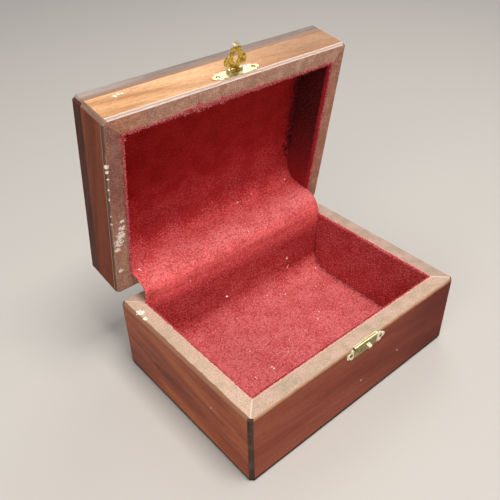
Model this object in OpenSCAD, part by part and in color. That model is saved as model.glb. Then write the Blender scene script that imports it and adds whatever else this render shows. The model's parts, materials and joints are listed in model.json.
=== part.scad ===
// Hinged wooden box for watches and small jewellery, lined with velvet and closed by a brass hasp.
// Millimetres. Origin: middle of the underside. +X is the right, -Y the front and +Z up.
// Every lid piece is drawn as it lies with the lid closed, and is then swung open about the hinges.

/* [Box] */
// Outside width, side to side
box_w = 150; // [130:1:200]
// Outside depth, front to back
box_d = 107; // [90:1:140]
// Height of the base, from the table to its rim
base_h = 45.5; // [40:0.5:70]
// Height of the lid, from its rim to its top
lid_h = 25.5; // [22:0.5:40]
// Thickness of the eight walls
wall_t = 9.5; // [9:0.5:12]
// Air between the two rims when the lid is closed
rim_gap = 0.85; // [0.7:0.05:1.1]
// Angle at which the lid stands open
lid_open = 80.5; // [60:0.5:95]

/* [Woodwork] */
// Bevel on the edges of the two rims
rim_bevel = 1; // [0.4:0.1:1.2]
// Bevel on the top edge of the lid
top_bevel = 0.8; // [0.4:0.1:1.2]
// Easing on the foot of the base walls
foot_bevel = 0.3; // [0.2:0.1:0.6]
// How much each vertical corner is cut off, along the wall
corner_cut = 2; // [1.5:0.1:3]
// Thickness of the dark strip on each cut corner
strip_t = 1; // [0.6:0.1:1.4]
// Height of the dark band round the lid's top
band_h = 7.6; // [6:0.1:9]
// Width of the dark band on the lid's top
band_w = 6; // [5:0.5:7]
// Thickness of the panel inside the band, which closes the lid's top
panel_t = 4.6; // [3.5:0.1:6]
// Thickness of the board under the walls
bottom_t = 1.4; // [1:0.1:3]
// How far the bottom board stands in from the walls
bottom_inset = 0.5; // [0.2:0.1:1]

/* [Lining] */
// Thickness of the board under the floor's velvet
pad_t = 2.6; // [1:0.1:4]
// Thickness of the velvet
lining_t = 1; // [0.6:0.1:1.5]
// How far the velvet stops short of a rim
lining_short = 0.3; // [0.2:0.1:1]
// Air round the strip of velvet that bridges the hinges
bridge_air = 0.35; // [0.3:0.05:0.6]

/* [Hinges] */
// Length of a hinge
hinge_len = 24; // [18:1:28]
// Distance from the box's side to a hinge
hinge_inset = 18; // [16:1:24]
// Width of a hinge leaf on the rim
leaf_w = 7.5; // [6:0.5:8]
// Thickness of a hinge leaf
leaf_t = 1; // [0.8:0.1:1.2]
// Air between the two leaves of a closed hinge
leaf_air = 0.2; // [0.1:0.05:0.3]
// Outer radius of a knuckle
knuckle_r = 2; // [1.8:0.1:2.4]
// Length of the middle knuckle, which is the lid's
mid_knuckle = 8; // [6:0.5:10]
// Air round a knuckle, to the wood and to the other leaf
knuckle_air = 0.45; // [0.3:0.05:0.6]
// Air between two knuckles, end to end
knuckle_gap = 0.15; // [0.1:0.05:0.3]
// Radius of a hinge pin
pin_r = 0.9; // [0.7:0.05:1]
// Distance between a leaf's two screws
screw_pitch = 14; // [10:0.5:16]
// Radius of a screw's shank
screw_r = 0.75; // [0.6:0.05:0.9]
// Radius of a screw's head
screw_head_r = 1.6; // [1.4:0.05:1.7]
// Length of a screw
screw_len = 8; // [6:0.5:10]

/* [Hasp] */
// Sideways place of the hasp, from the middle of the front
hasp_x = 0.5; // [-20:0.5:20]
// Width of the two stamped plates, over their lobes
plate_w = 28.4; // [24:0.2:32]
// Height of the two stamped plates
plate_h = 6.2; // [5.6:0.1:7]
// Thickness of the two stamped plates
plate_t = 0.7; // [0.5:0.05:0.9]
// Distance from the lid's rim to the hasp plate
plate_up = 1.1; // [0.9:0.1:1.6]
// Radius of the petals at the plates' ends
petal_r = 1.6; // [1.4:0.1:1.8]
// Distance from the hasp plate's lower edge to the pin
pin_up = 4.1; // [3.6:0.1:4.4]
// Distance from the front wall to the pin
pin_out = 1.3; // [1.25:0.05:1.6]
// Radius of the hasp's pin
hasp_pin_r = 0.5; // [0.4:0.05:0.6]
// Radius of the hasp's knuckles
hasp_knuckle_r = 1.15; // [1:0.05:1.2]
// Width of the leaf's knuckle
tab_w = 5.2; // [4:0.2:6]
// Length of each knuckle on the plate
ear_len = 1.5; // [1:0.1:2]
// Length of the leaf, from the pin to its bend
leaf_len = 12.6; // [11.5:0.1:14]
// Thickness of the hasp's leaf
hasp_leaf_t = 0.6; // [0.4:0.05:0.7]
// Width of the leaf's slot
slot_w = 3.2; // [2.8:0.1:3.6]
// Distance from the pin to the leaf's slot
slot_from = 3.9; // [3.6:0.1:4.4]
// Length of the leaf's slot
slot_len = 5; // [4.6:0.1:5.4]
// Radius of each wing of the leaf
wing_r = 2.7; // [2.4:0.1:3.1]
// Distance from the leaf's middle to the middle of a wing
wing_x = 4.1; // [3.8:0.1:4.6]
// Distance from the pin to the middle of a wing
wing_out = 4.9; // [4.6:0.1:5.2]
// Radius of the leaf's shoulders, above its wings
shoulder_r = 3.5; // [3:0.1:3.8]
// Width of the leaf's tip
tip_w = 3.8; // [3.4:0.1:4.6]
// Radius of the two small petals below the tip
tip_petal_r = 0.9; // [0.8:0.05:1.1]
// Length of the finger lip past the bend
lip_len = 1.9; // [1.4:0.1:2.4]
// Angle of the bend at the finger lip
lip_angle = 48; // [30:1:60]
// How far the catch plate's edge is folded back over the rim
fold_w = 0.8; // [0.5:0.1:1.6]
// Air between the folded edge and the closed lid
fold_air = 0.4; // [0.3:0.05:0.5]
// Width of the catch's tongue
tongue_w = 2.4; // [2:0.1:2.6]
// Thickness of the catch's tongue
tongue_t = 1.1; // [0.8:0.1:1.3]
// How far the tongue stands out from its plate
tongue_out = 2.7; // [2.2:0.1:3.2]
// How far the tongue's end drops
tongue_drop = 0.5; // [0.2:0.1:0.6]
// Air under the tongue in the closed leaf's slot
tongue_air = 0.9; // [0.7:0.1:1.2]
// Radius of a nail
nail_r = 0.5; // [0.4:0.05:0.6]
// Radius of a nail's head
nail_head_r = 1.1; // [0.9:0.05:1.3]
// Height of a nail's domed head
nail_head_h = 0.45; // [0.3:0.05:0.5]
// Length of a nail in the wood
nail_len = 6; // [4:0.5:7]

/* [Fits] */
// Air all round a piece that is let in, nailed or screwed
snug = 0.03; // [0.02:0.01:0.05]
// Air round a pin that a knuckle turns on
run = 0.06; // [0.03:0.01:0.08]

/* [Hidden] */
$fn = 48;
past = 1; // how far a cutter runs past a face
half_w = box_w / 2;
half_d = box_d / 2;
room_w = box_w - 2 * wall_t;
room_d = box_d - 2 * wall_t;
floor_z = bottom_t + pad_t;
lid_rim = base_h + rim_gap;
lid_top = lid_rim + lid_h;
band_z = lid_top - band_h;
panel_z = lid_top - panel_t;
strip_groove = strip_t / sqrt(2);
hinge_y = half_d + knuckle_r + knuckle_air;
hinge_z = base_h + rim_gap / 2;
hinge_x = half_w - hinge_inset - hinge_len / 2;
leaf_reach = hinge_y - half_d + leaf_w;
base_knuckle = (hinge_len - mid_knuckle) / 2 - knuckle_gap;
hasp_pin_z = lid_rim + plate_up + pin_up;
tongue_z = hasp_pin_z - slot_from - slot_len + tongue_air;
catch_z = base_h - plate_h / 2;
hasp_z = lid_rim + plate_up + plate_h / 2;
fold_t = rim_gap - fold_air;
petal_x = plate_w / 2 - petal_r;
bar_half = petal_x - 2.5 * petal_r;
nail_x = petal_x - petal_r;
front = 0;
right = 1;
back = 2;
left = 3;
wood = "#8a4a38";
dark = "#4a3a30";
velvet = "#c03c40";
brass = "#c8a24a";

// ---- Frames of reference ----

// Swings the closed lid open about the hinge pins
module opened() {
    translate([0, hinge_y, hinge_z])
        rotate([-lid_open, 0, 0])
            translate([0, -hinge_y, -hinge_z])
                children();
}

// The place of a hinge, with its pin along X at the origin: 1 for the right one and -1 for the left
module at_hinge(way) {
    translate([way * hinge_x, hinge_y, hinge_z])
        children();
}

// A drawing in X and Z on the front wall, pulled out towards the front
module on_front(z) {
    translate([hasp_x, -half_d, z])
        rotate([90, 0, 0])
            children();
}

// ---- Woodwork ----

function side_half(side) = side % 2 == 0 ? half_w : half_d;
function side_face(side) = side % 2 == 0 ? half_d : half_w;

// Plan of one side of a mitred frame: w wide, its outer corners cut off, with a groove this deep for a strip
module side_plan(side, w, groove) {
    end = side_half(side);
    face = side_face(side);
    middle = corner_cut / 2 + groove;
    inner = [[end - w, w - face], [end - middle, middle - face]];
    edge = groove > 0 ? [[end - corner_cut - groove, groove - face]] : [];
    right_half = concat(inner, edge, [[end - corner_cut, -face]]);
    left_half = [for (i = [len(right_half) - 1:-1:0]) [-right_half[i][0], right_half[i][1]]];
    rotate(90 * side)
        polygon(concat(right_half, left_half));
}

// A slab that reaches out to half on both sides, with its four long edges bevelled
module bevelled_slab(half, turn, low, high, low_bevel, high_bevel) {
    right_half = [
        [half - low_bevel, low], [half, low + low_bevel],
        [half, high - high_bevel], [half - high_bevel, high]
    ];
    left_half = [for (i = [3:-1:0]) [-right_half[i][0], right_half[i][1]]];
    rotate([90, 0, turn])
        linear_extrude(box_w + box_d, center = true)
            polygon(concat(right_half, left_half));
}

// The block that the walls of the base or the lid are worked from: corners cut, edges bevelled
module block(low, high, low_bevel, high_bevel) {
    corner_half = (half_w + half_d - corner_cut) / sqrt(2);
    intersection() {
        bevelled_slab(half_w, 0, low, high, low_bevel, high_bevel);
        bevelled_slab(half_d, 90, low, high, low_bevel, high_bevel);
        bevelled_slab(corner_half, 45, low, high, low_bevel, high_bevel);
        bevelled_slab(corner_half, -45, low, high, low_bevel, high_bevel);
    }
}

module base_block() {
    block(bottom_t, base_h, foot_bevel, rim_bevel);
}

module lid_block() {
    block(lid_rim, lid_top, rim_bevel, top_bevel);
}

// Plan of the inner part of one side of a mitred frame, from this far behind its outer face to the room
module inner_plan(side, from) {
    end = side_half(side);
    face = side_face(side);
    rotate(90 * side)
        polygon([
            [end - wall_t, wall_t - face], [end - from, from - face],
            [from - end, from - face], [wall_t - end, wall_t - face]
        ]);
}

module frame_side(side, low, high) {
    translate([0, 0, low])
        linear_extrude(high - low)
            side_plan(side, wall_t, strip_groove);
}

// The strip let into a cut corner: across is 1 for the right and -1 for the left, along 1 for the back
module corner_strip(across, along, low, high) {
    far = corner_cut + strip_groove;
    translate([0, 0, low])
        linear_extrude(high - low)
            scale([across, along])
                polygon([
                    [half_w - far, half_d - strip_groove], [half_w - corner_cut, half_d],
                    [half_w, half_d - corner_cut], [half_w - strip_groove, half_d - far]
                ]);
}

module base_wall(side) {
    intersection() {
        base_block();
        frame_side(side, bottom_t, base_h);
    }
}

module base_strip(across, along) {
    intersection() {
        base_block();
        corner_strip(across, along, bottom_t, base_h);
    }
}

// A wall of the lid: up to the band on the outside, and behind the band up to the top panel
module lid_wall(side) {
    intersection() {
        lid_block();
        translate([0, 0, lid_rim]) {
            linear_extrude(band_z - lid_rim)
                side_plan(side, band_w, strip_groove);
            linear_extrude(panel_z - lid_rim)
                inner_plan(side, band_w);
        }
    }
}

module lid_strip(across, along) {
    intersection() {
        lid_block();
        corner_strip(across, along, lid_rim, band_z);
    }
}

module lid_band(side) {
    intersection() {
        lid_block();
        translate([0, 0, band_z])
            linear_extrude(band_h)
                side_plan(side, band_w, 0);
    }
}

module base_front_wall() {
    color(wood)
        difference() {
            base_wall(front);
            nail_holes(catch_z);
        }
}

module base_back_wall() {
    color(wood)
        difference() {
            base_wall(back);
            for (way = [-1, 1])
                at_hinge(way) hinge_seat();
        }
}

module base_left_wall() {
    color(wood) base_wall(left);
}

module base_right_wall() {
    color(wood) base_wall(right);
}

module base_front_left_strip() {
    color(dark) base_strip(-1, -1);
}

module base_front_right_strip() {
    color(dark) base_strip(1, -1);
}

module base_back_left_strip() {
    color(dark) base_strip(-1, 1);
}

module base_back_right_strip() {
    color(dark) base_strip(1, 1);
}

module base_bottom_board() {
    color(dark)
        linear_extrude(bottom_t)
            intersection() {
                square([box_w - 2 * bottom_inset, box_d - 2 * bottom_inset], center = true);
                rotate(45)
                    square((box_w + box_d - 2 * corner_cut) / sqrt(2) - 2 * bottom_inset, center = true);
            }
}

module lid_front_wall() {
    color(wood)
        opened()
            difference() {
                lid_wall(front);
                nail_holes(hasp_z);
            }
}

module lid_back_wall() {
    color(wood)
        opened()
            difference() {
                lid_wall(back);
                for (way = [-1, 1])
                    at_hinge(way) mirror([0, 0, 1]) hinge_seat();
            }
}

module lid_left_wall() {
    color(wood) opened() lid_wall(left);
}

module lid_right_wall() {
    color(wood) opened() lid_wall(right);
}

module lid_front_left_strip() {
    color(dark) opened() lid_strip(-1, -1);
}

module lid_front_right_strip() {
    color(dark) opened() lid_strip(1, -1);
}

module lid_back_left_strip() {
    color(dark) opened() lid_strip(-1, 1);
}

module lid_back_right_strip() {
    color(dark) opened() lid_strip(1, 1);
}

module lid_front_band() {
    color(dark) opened() lid_band(front);
}

module lid_back_band() {
    color(dark) opened() lid_band(back);
}

module lid_left_band() {
    color(dark) opened() lid_band(left);
}

module lid_right_band() {
    color(dark) opened() lid_band(right);
}

module lid_top_panel() {
    color(wood)
        opened()
            translate([0, 0, panel_z + panel_t / 2])
                cube([box_w - 2 * band_w, box_d - 2 * band_w, panel_t], center = true);
}

// ---- Lining ----

// A sheet of velvet on the inner face of one wall, between two heights. The side ones fit between the
// front and the back ones.
module wall_lining(side, low, high) {
    inner = side_face(side) - wall_t;
    len = side % 2 == 0 ? room_w : room_d - 2 * lining_t;
    rotate([0, 0, 90 * side])
        translate([-len / 2, -inner, low])
            cube([len, lining_t, high - low]);
}

module base_lining(side) {
    color(velvet) wall_lining(side, floor_z + lining_t, base_h - lining_short);
}

module lid_lining(side) {
    color(velvet) opened() wall_lining(side, lid_rim + lining_short, panel_z - lining_t);
}

// A sheet that covers the whole room, with its underside at the given height
module room_sheet(low, t) {
    translate([-room_w / 2, -room_d / 2, low])
        cube([room_w, room_d, t]);
}

module base_floor_pad() {
    color("tan") room_sheet(bottom_t, pad_t);
}

module base_floor_lining() {
    color(velvet) room_sheet(floor_z, lining_t);
}

module base_front_lining() {
    base_lining(front);
}

module base_back_lining() {
    base_lining(back);
}

module base_left_lining() {
    base_lining(left);
}

module base_right_lining() {
    base_lining(right);
}

module lid_panel_lining() {
    color(velvet) opened() room_sheet(panel_z - lining_t, lining_t);
}

module lid_front_lining() {
    lid_lining(front);
}

module lid_back_lining() {
    lid_lining(back);
}

module lid_left_lining() {
    lid_lining(left);
}

module lid_right_lining() {
    lid_lining(right);
}

// The strip between the two back linings, bent round the hinge pins
module hinge_lining() {
    near = hinge_y - room_d / 2 + bridge_air;
    color(velvet)
        translate([0, hinge_y, hinge_z])
            rotate([90, 0, -90])
                rotate_extrude(angle = lid_open)
                    translate([near, bridge_air - room_w / 2])
                        square([lining_t, room_w - 2 * bridge_air]);
}

// ---- Hinges ----

module hinge_screw_places() {
    for (way = [-1, 1])
        translate([way * screw_pitch / 2, leaf_w / 2 - leaf_reach, -leaf_air / 2])
            children();
}

// A countersunk head and its shank, pointing down from the leaf's face; grow makes it a hole
module screw_shape(grow) {
    head_h = screw_head_r - screw_r;
    translate([0, 0, -head_h])
        cylinder(r1 = screw_r + grow, r2 = screw_head_r + grow, h = head_h);
    translate([0, 0, -screw_len - grow])
        cylinder(r = screw_r + grow, h = screw_len + grow - head_h);
    if (grow > 0)
        cylinder(r = screw_head_r + grow, h = past);
}

module screws() {
    slot_t = screw_r / 2;
    color(brass)
        hinge_screw_places()
            difference() {
                screw_shape(0);
                cube([2 * screw_head_r + past, slot_t, slot_t], center = true);
            }
}

// One leaf, lying under the pin, with a knuckle from each start over the given length
module leaf(starts, len, bore_r) {
    slab_y = leaf_reach - knuckle_r - knuckle_air;
    color(brass)
        difference() {
            union() {
                translate([-hinge_len / 2, -leaf_reach, -leaf_air / 2 - leaf_t])
                    cube([hinge_len, slab_y, leaf_t]);
                for (start = starts)
                    translate([start, 0, 0]) {
                        rotate([0, 90, 0])
                            cylinder(r = knuckle_r, h = len);
                        translate([0, -leaf_reach, -leaf_air / 2 - leaf_t])
                            cube([len, leaf_reach, leaf_t]);
                    }
            }
            rotate([0, 90, 0])
                cylinder(r = bore_r, h = hinge_len + past, center = true);
            hinge_screw_places()
                screw_shape(snug);
        }
}

module base_leaf() {
    leaf([-hinge_len / 2, hinge_len / 2 - base_knuckle], base_knuckle, pin_r + snug);
}

module lid_leaf() {
    mirror([0, 0, 1])
        leaf([-mid_knuckle / 2], mid_knuckle, pin_r + run);
}

// What is cut out of a back wall: a shallow seat for the leaf and holes for its screws
module hinge_seat() {
    translate([-hinge_len / 2 - snug, -leaf_reach - snug, -leaf_air / 2 - leaf_t - snug])
        cube([hinge_len + 2 * snug, leaf_reach + past, leaf_air / 2 + leaf_t + rim_gap + past]);
    hinge_screw_places()
        screw_shape(snug);
}

module hinge_pin() {
    color(brass)
        rotate([0, 90, 0])
            cylinder(r = pin_r, h = hinge_len, center = true);
}

module left_hinge_base_leaf() {
    at_hinge(-1) base_leaf();
}

module right_hinge_base_leaf() {
    at_hinge(1) base_leaf();
}

module left_hinge_pin() {
    at_hinge(-1) hinge_pin();
}

module right_hinge_pin() {
    at_hinge(1) hinge_pin();
}

module left_hinge_base_screws() {
    at_hinge(-1) screws();
}

module right_hinge_base_screws() {
    at_hinge(1) screws();
}

module left_hinge_lid_leaf() {
    opened() at_hinge(-1) lid_leaf();
}

module right_hinge_lid_leaf() {
    opened() at_hinge(1) lid_leaf();
}

module left_hinge_lid_screws() {
    opened() at_hinge(-1) mirror([0, 0, 1]) screws();
}

module right_hinge_lid_screws() {
    opened() at_hinge(1) mirror([0, 0, 1]) screws();
}

// ---- Hasp ----

// Outline of a stamped plate: a bar with three petals round each nail
module plate_outline() {
    square([2 * bar_half, plate_h], center = true);
    square([2 * petal_x, 2 * petal_r], center = true);
    for (way = [-1, 1]) {
        translate([way * petal_x, 0])
            circle(petal_r);
        for (up = [-1, 1])
            translate([way * (petal_x - 1.5 * petal_r), up * (plate_h / 2 - petal_r)])
                circle(petal_r);
    }
}

module nail_places(z) {
    for (way = [-1, 1])
        on_front(z)
            translate([way * nail_x, 0, 0])
                children();
}

module nail_holes(z) {
    nail_places(z)
        translate([0, 0, -nail_len - snug])
            cylinder(r = nail_r + snug, h = nail_len + plate_t + past);
}

// Domed nails, with their heads on the face of the plate
module nails(z) {
    dome_r = (nail_head_r * nail_head_r + nail_head_h * nail_head_h) / (2 * nail_head_h);
    color(brass)
        nail_places(z) {
            translate([0, 0, -nail_len])
                cylinder(r = nail_r, h = nail_len + plate_t + nail_head_h / 2);
            translate([0, 0, plate_t])
                intersection() {
                    translate([0, 0, nail_head_h - dome_r])
                        sphere(dome_r);
                    cylinder(r = 2 * nail_head_r, h = nail_head_h);
                }
        }
}

// A round bar along X, centred on the hasp's pin
module hasp_bar(r, from, to) {
    translate([hasp_x + from, -half_d - pin_out, hasp_pin_z])
        rotate([0, 90, 0])
            cylinder(r = r, h = to - from);
}

module catch_plate() {
    color(brass) {
        difference() {
            union() {
                on_front(catch_z)
                    linear_extrude(plate_t)
                        plate_outline();
                translate([hasp_x - bar_half, -half_d - plate_t, base_h])
                    cube([2 * bar_half, plate_t + fold_w, fold_t]);
                translate([hasp_x + tongue_w / 2, -half_d - plate_t, tongue_z])
                    rotate([90, 0, -90])
                        linear_extrude(tongue_w)
                            polygon([
                                [0, 0], [0, tongue_t],
                                [tongue_out, tongue_t - tongue_drop], [tongue_out, -tongue_drop]
                            ]);
            }
            nail_holes(catch_z);
        }
    }
}

module catch_nails() {
    nails(catch_z);
}

module hasp_plate() {
    ear_from = tab_w / 2 + knuckle_gap;
    color(brass)
        opened()
            difference() {
                union() {
                    on_front(hasp_z)
                        linear_extrude(plate_t)
                            plate_outline();
                    for (from = [ear_from, -ear_from - ear_len]) {
                        hasp_bar(hasp_knuckle_r, from, from + ear_len);
                        translate([hasp_x + from, -half_d - pin_out, hasp_pin_z - hasp_knuckle_r])
                            cube([ear_len, pin_out, 2 * hasp_knuckle_r]);
                    }
                }
                hasp_bar(hasp_pin_r + snug, -plate_w, plate_w);
                translate([hasp_x - ear_from, -half_d - plate_t - past, hasp_pin_z - hasp_knuckle_r - knuckle_gap])
                    cube([2 * ear_from, plate_t + 2 * past, 2 * (hasp_knuckle_r + knuckle_gap)]);
                nail_holes(hasp_z);
            }
}

module hasp_nails() {
    opened() nails(hasp_z);
}

module hasp_pin() {
    half = tab_w / 2 + knuckle_gap + ear_len;
    color(brass)
        opened()
            hasp_bar(hasp_pin_r, -half, half);
}

// Outline of the hasp's leaf, with its pin along X at the origin
module leaf_outline() {
    translate([-tab_w / 2, 0])
        square([tab_w, wing_out]);
    translate([-tip_w / 2, wing_out])
        square([tip_w, leaf_len - wing_out]);
    translate([0, slot_from + slot_len - slot_w / 4])
        circle(shoulder_r);
    for (way = [-1, 1]) {
        translate([way * wing_x, wing_out])
            circle(wing_r);
        translate([way * (tip_w + tip_petal_r) / 2, leaf_len - 2 * tip_petal_r])
            circle(tip_petal_r);
    }
}

module leaf_slot() {
    end_r = slot_w / 2;
    for (y = [slot_from + end_r, slot_from + slot_len - end_r])
        translate([0, y])
            circle(end_r);
    translate([-end_r, slot_from + end_r])
        square([slot_w, slot_len - slot_w]);
}

// The leaf stands straight out from the front wall
module hasp_leaf() {
    color(brass)
        opened()
            difference() {
                union() {
                    hasp_bar(hasp_knuckle_r, -tab_w / 2, tab_w / 2);
                    translate([hasp_x, -half_d - pin_out, hasp_pin_z + hasp_leaf_t / 2])
                        rotate([180, 0, 0])
                            linear_extrude(hasp_leaf_t)
                                difference() {
                                    leaf_outline();
                                    leaf_slot();
                                }
                    translate([hasp_x, -half_d - pin_out - leaf_len, hasp_pin_z]) {
                        rotate([0, 90, 0])
                            cylinder(r = hasp_leaf_t / 2, h = tip_w, center = true);
                        rotate([-lip_angle, 0, 0])
                            translate([-tip_w / 2, -lip_len, -hasp_leaf_t / 2])
                                cube([tip_w, lip_len, hasp_leaf_t]);
                    }
                }
                hasp_bar(hasp_pin_r + run, -plate_w, plate_w);
            }
}

base_front_wall();
base_back_wall();
base_left_wall();
base_right_wall();
base_front_left_strip();
base_front_right_strip();
base_back_left_strip();
base_back_right_strip();
base_bottom_board();
base_floor_pad();
base_floor_lining();
base_front_lining();
base_back_lining();
base_left_lining();
base_right_lining();
hinge_lining();
catch_plate();
catch_nails();
left_hinge_base_leaf();
right_hinge_base_leaf();
left_hinge_pin();
right_hinge_pin();
left_hinge_base_screws();
right_hinge_base_screws();
lid_front_wall();
lid_back_wall();
lid_left_wall();
lid_right_wall();
lid_front_left_strip();
lid_front_right_strip();
lid_back_left_strip();
lid_back_right_strip();
lid_front_band();
lid_back_band();
lid_left_band();
lid_right_band();
lid_top_panel();
lid_panel_lining();
lid_front_lining();
lid_back_lining();
lid_left_lining();
lid_right_lining();
left_hinge_lid_leaf();
right_hinge_lid_leaf();
left_hinge_lid_screws();
right_hinge_lid_screws();
hasp_plate();
hasp_nails();
hasp_pin();
hasp_leaf();
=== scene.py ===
"""A small hinged box: stained wood, dark corner strips, a red velvet lining and a stamped brass hasp.

Every length is in metres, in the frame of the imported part: +X to the right, -Y to the front and +Z up.
Lid pieces are shaped as they lie with the lid closed, and are then swung open about the hinges.
"""

import json
import math
import random

import bpy
from mathutils import Matrix, Vector, noise


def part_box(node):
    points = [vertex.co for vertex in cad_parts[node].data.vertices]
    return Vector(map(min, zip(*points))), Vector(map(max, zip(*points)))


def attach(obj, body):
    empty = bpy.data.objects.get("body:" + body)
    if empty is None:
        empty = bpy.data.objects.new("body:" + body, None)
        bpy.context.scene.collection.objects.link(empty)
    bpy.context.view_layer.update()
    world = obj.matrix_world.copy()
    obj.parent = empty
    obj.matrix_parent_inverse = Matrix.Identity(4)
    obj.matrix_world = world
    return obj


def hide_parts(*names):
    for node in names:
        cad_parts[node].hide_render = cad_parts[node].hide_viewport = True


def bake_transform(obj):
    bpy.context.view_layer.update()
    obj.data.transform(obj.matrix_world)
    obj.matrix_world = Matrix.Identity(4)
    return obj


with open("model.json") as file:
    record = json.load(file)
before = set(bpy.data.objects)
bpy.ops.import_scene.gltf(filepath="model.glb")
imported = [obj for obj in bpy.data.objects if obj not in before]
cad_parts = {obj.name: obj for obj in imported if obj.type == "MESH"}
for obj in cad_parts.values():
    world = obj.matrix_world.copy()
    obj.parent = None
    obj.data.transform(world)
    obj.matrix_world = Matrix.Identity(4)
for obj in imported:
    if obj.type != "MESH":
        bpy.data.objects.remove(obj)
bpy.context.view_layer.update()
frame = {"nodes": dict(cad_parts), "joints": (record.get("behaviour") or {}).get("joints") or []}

# ---------------------------------------------------------------- sizes

MM = 0.001
TINY = 1e-12
JOINTS = {joint["name"]: joint for joint in frame["joints"]}
HINGE = Vector(JOINTS["lid_hinge"]["pos_m"])
LID_OPEN = math.radians(JOINTS["lid_hinge"]["range_deg"][1])
OPENED = Matrix.Translation(HINGE) @ Matrix.Rotation(-LID_OPEN, 4, "X") @ Matrix.Translation(-HINGE)
CLOSED = OPENED.inverted()

HALF_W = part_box("base_right_wall")[1].x
HALF_D = -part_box("base_front_wall")[0].y
ROOM_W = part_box("base_floor_lining")[1].x
ROOM_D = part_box("base_floor_lining")[1].y
FLOOR_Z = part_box("base_floor_lining")[1].z
WALL_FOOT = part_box("base_front_wall")[0].z
BASE_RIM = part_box("base_front_wall")[1].z
LID_RIM = 2 * HINGE.z - BASE_RIM
PANEL_Z = min((CLOSED @ v.co).z for v in frame["nodes"]["lid_panel_lining"].data.vertices)
LID_TOP = max((CLOSED @ v.co).z for v in frame["nodes"]["lid_top_panel"].data.vertices)
LEAF_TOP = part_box("hasp_leaf")[1].z
WALL_T = HALF_D - ROOM_D
CLOTH_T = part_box("base_front_lining")[1].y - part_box("base_front_lining")[0].y
BASE_LINING_H = BASE_RIM - FLOOR_Z
LID_LINING_H = PANEL_Z - LID_RIM


# ---------------------------------------------------------------- materials

# sockets of a Mix node: how much of the second there is, the two colours, and the two numbers
SHARE, COLOUR_1, COLOUR_2, NUMBER_1, NUMBER_2 = 0, 6, 7, 2, 3


def linear(hex_colour):
    """An sRGB hex colour as linear RGBA."""
    parts = [int(hex_colour[i:i + 2], 16) / 255 for i in (1, 3, 5)]
    return [p / 12.92 if p <= 0.04045 else ((p + 0.055) / 1.055) ** 2.4 for p in parts] + [1.0]


def add(tree, kind, inputs=None, stops=(), **settings):
    """Adds one shader node with its settings. An input is set to a value, or linked to a socket or to another
    node's first output in use. Stops are a colour ramp's (place, hex colour)."""
    node = tree.nodes.new("ShaderNode" + kind)
    for name, value in settings.items():
        setattr(node, name, value)
    for socket, value in (inputs or {}).items():
        if isinstance(value, bpy.types.Node):
            value = next(output for output in value.outputs if output.enabled)
        if isinstance(value, bpy.types.NodeSocket):
            tree.links.new(value, node.inputs[socket])
        else:
            node.inputs[socket].default_value = value
    if stops:
        marks = node.color_ramp.elements
        while len(marks) < len(stops):
            marks.new(1.0)
        for mark, (place, colour) in zip(marks, stops):
            mark.position = place
            mark.color = linear(colour)
    return node


def new_material(name):
    """A material with an empty node tree."""
    material = bpy.data.materials.new(name)
    material.use_nodes = True
    material.node_tree.nodes.clear()
    return material


def finished(material, surface):
    """Gives a material its Principled shader, whose inputs are the values and nodes of the surface."""
    shader = add(material.node_tree, "BsdfPrincipled", surface)
    add(material.node_tree, "OutputMaterial", {"Surface": shader})
    return material


def placed(tree, on_lid):
    """Where a point lies with the lid closed, in metres."""
    place = add(tree, "TexCoord").outputs["Object"]
    if not on_lid:
        return place
    shift = HINGE - Matrix.Rotation(LID_OPEN, 3, "X") @ HINGE
    return add(tree, "Mapping", {"Vector": place, "Rotation": (LID_OPEN, 0, 0), "Location": shift})


def pattern(tree, place, length, width, along="X", seed=0.0, detail=2.0, rough=0.5, tilt=0.0):
    """Noise in spots of about length by width, in metres. The length runs along the grain, which leans by the
    tilt in degrees. The seed moves the noise."""
    size = [width] * 3
    size["XYZ".index(along)] = length
    lean = (0, math.radians(tilt), 0) if along == "X" else (math.radians(tilt), 0, 0)
    moved = add(tree, "Mapping", {"Vector": place, "Location": (seed * 0.1, seed * 0.17, seed * 0.23),
                                  "Rotation": lean, "Scale": size}, vector_type="TEXTURE")
    return add(tree, "TexNoise", {"Vector": moved, "Scale": 1.0, "Detail": detail, "Roughness": rough})


def within(tree, *fades, most=1.0):
    """The most where every fade is on. A fade (value, start, end) is off where its value is at start, and on
    where it is at end."""
    share = most
    for value, start, end in fades:
        fade = add(tree, "MapRange", {"Value": value, "From Min": start, "From Max": end},
                   interpolation_type="SMOOTHSTEP")
        share = add(tree, "Math", {0: share, 1: fade}, operation="MULTIPLY")
    return share


def coated(tree, ground, *coats, blend="MIX"):
    """Lays coats over a ground colour, one after the other. A coat (value, start, end, cover, colour) comes
    in as its value goes from start to end, and there it covers that share of the ground."""
    for value, start, end, cover, colour in coats:
        share = within(tree, (value, start, end), most=cover)
        colour = linear(colour) if isinstance(colour, str) else colour
        ground = add(tree, "Mix", {SHARE: share, COLOUR_1: ground, COLOUR_2: colour}, data_type="RGBA",
                     blend_type=blend)
    return ground


def tinted(tree, colour, way, tint):
    """The colour, multiplied by a tint (from, to, hex colour) that comes in along the way."""
    if not tint:
        return colour
    start, end, shade = tint
    return coated(tree, colour, (way, start, end, 1.0, shade), blend="MULTIPLY")


def patches(tree, place, places):
    """1 on the ragged flecks in any of the places, each (x, y, z, radius) in metres."""
    if not places:
        return 0.0
    near = 0.0
    for x, y, z, radius in places:
        away = add(tree, "VectorMath", {0: place, 1: (x, y, z)}, operation="DISTANCE")
        near = add(tree, "Math", {0: near, 1: within(tree, (away, radius * 1.3, radius * 0.5))},
                   operation="MAXIMUM")
    flecks = pattern(tree, place, 1.0 * MM, 1.0 * MM, detail=4.0, rough=0.75)
    level = add(tree, "Math", {0: near, 1: 0.20, 2: flecks}, operation="MULTIPLY_ADD")
    return within(tree, (level, 0.61, 0.67), (near, 0.0, 0.15))


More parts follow.
